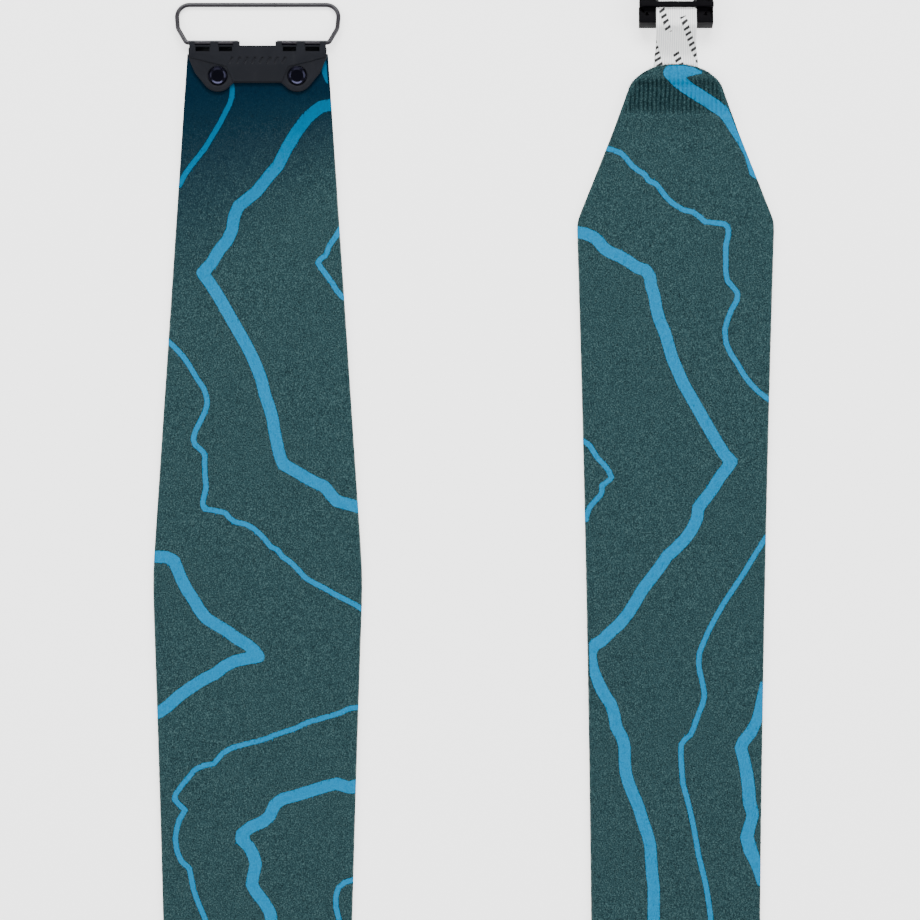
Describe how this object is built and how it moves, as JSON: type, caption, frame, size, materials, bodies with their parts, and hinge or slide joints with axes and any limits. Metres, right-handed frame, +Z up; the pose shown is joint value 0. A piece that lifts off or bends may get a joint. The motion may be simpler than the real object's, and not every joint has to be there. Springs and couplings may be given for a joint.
{
  "type": "ski climbing skins",
  "caption": "Pair of ski climbing skins: plush strips with a wire tip bail clipped in a studded plate and an elastic tail strap with a cam hook.",
  "frame": {"origin": "middle of the pair, on the surface it lies on", "axes": "+Z up, +Y along the skins, towards the left skin's tip and the right skin's tail, +X to the right"},
  "size_m": [0.357, 1.8836, 0.0174],
  "materials": {
    "plush": "matte",
    "membrane": "satin",
    "adhesive": "satin",
    "moulded_black": "satin",
    "stud_black": "satin",
    "wire_black": "satin",
    "steel": "satin",
    "webbing": "matte"
  },
  "bodies": {
    "left_skin": {"left_plush": "plush", "left_membrane": "membrane", "left_adhesive": "adhesive", "left_tip_plate": "moulded_black", "left_base_plate": "moulded_black", "left_stud_a": "stud_black", "left_stud_b": "stud_black", "left_stud_washer_a": "steel", "left_stud_washer_b": "steel", "left_strap": "webbing", "left_tail_patch": "membrane"},
    "left_bail": {"left_tip_bail": "wire_black"},
    "left_hook": {"left_tail_hook": "moulded_black", "left_cam_pin": "steel", "left_strap_tab": "moulded_black"},
    "left_cam_lever": {"left_cam_lever": "moulded_black"},
    "right_skin": {"right_plush": "plush", "right_membrane": "membrane", "right_adhesive": "adhesive", "right_tip_plate": "moulded_black", "right_base_plate": "moulded_black", "right_stud_a": "stud_black", "right_stud_b": "stud_black", "right_stud_washer_a": "steel", "right_stud_washer_b": "steel", "right_strap": "webbing", "right_tail_patch": "membrane"},
    "right_bail": {"right_tip_bail": "wire_black"},
    "right_hook": {"right_tail_hook": "moulded_black", "right_cam_pin": "steel", "right_strap_tab": "moulded_black"},
    "right_cam_lever": {"right_cam_lever": "moulded_black"}
  },
  "joints": [
    {"name": "left_bail_hinge", "type": "hinge", "parent": "left_skin", "child": "left_bail", "pos_m": [-0.119, 0.8362, 0.0046], "axis": [1, 0, 0], "range_deg": [0, 150]},
    {"name": "left_strap_stretch", "type": "slide", "parent": "left_skin", "child": "left_hook", "axis": [0, -1, 0], "range_m": [0, 0.025], "stiffness_N_per_m": 800, "deforming": ["left_strap"]},
    {"name": "left_cam_hinge", "type": "hinge", "parent": "left_hook", "child": "left_cam_lever", "pos_m": [-0.119, -0.87278, 0.01384], "axis": [-1, 0, 0], "range_deg": [0, 110]},
    {"name": "right_bail_hinge", "type": "hinge", "parent": "right_skin", "child": "right_bail", "pos_m": [0.119, -0.8362, 0.0046], "axis": [-1, 0, 0], "range_deg": [0, 150]},
    {"name": "right_strap_stretch", "type": "slide", "parent": "right_skin", "child": "right_hook", "axis": [0, 1, 0], "range_m": [0, 0.025], "stiffness_N_per_m": 800, "deforming": ["right_strap"]},
    {"name": "right_cam_hinge", "type": "hinge", "parent": "right_hook", "child": "right_cam_lever", "pos_m": [0.119, 0.87278, 0.01384], "axis": [1, 0, 0], "range_deg": [0, 110]},
    {"name": "right_skin_apart", "type": "slide", "parent": "left_skin", "child": "right_skin", "axis": [1, 0, 0], "range_m": [0, 0.05]}
  ]
}
